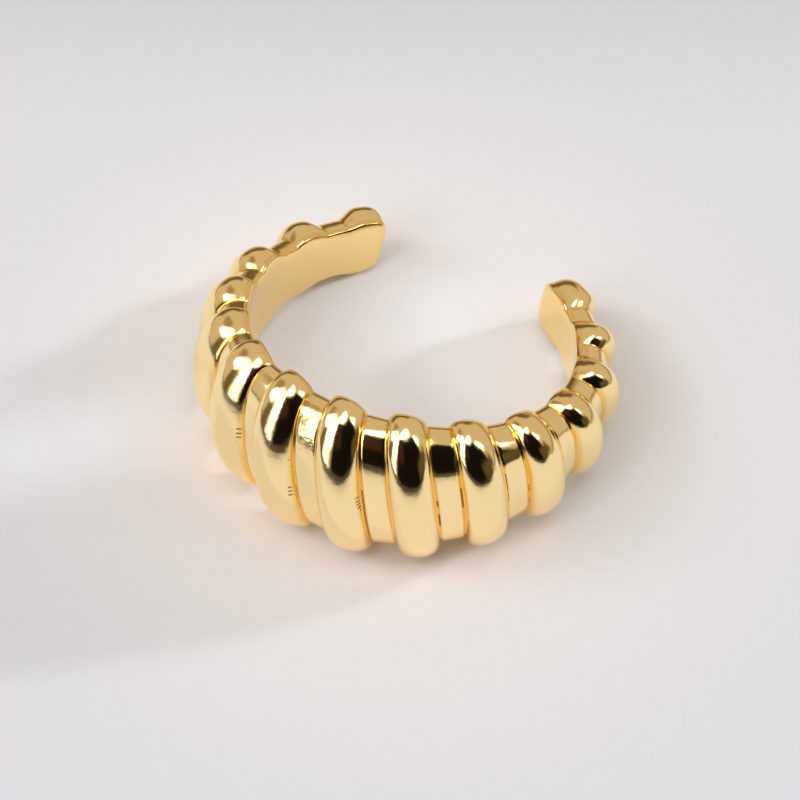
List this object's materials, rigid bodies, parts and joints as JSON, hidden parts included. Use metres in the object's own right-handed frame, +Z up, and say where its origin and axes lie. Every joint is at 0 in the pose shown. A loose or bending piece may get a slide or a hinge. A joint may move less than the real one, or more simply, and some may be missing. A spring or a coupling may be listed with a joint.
{
  "type": "ear cuff",
  "caption": "Ribbed croissant ear cuff: a small open ring of polished gold-plated metal that clips round the rim of an ear without a piercing.",
  "frame": {"origin": "centre of the bounding box's base, on the surface the cuff lies on", "axes": "+Z up as the cuff lies on its side by itself, -Y towards its widest, front rib, +Y out through the opening between its ends"},
  "size_m": [0.0124, 0.0116, 0.0052],
  "materials": {
    "gold": "polished"
  },
  "bodies": {
    "root": {"cuff": "gold"}
  },
  "joints": []
}
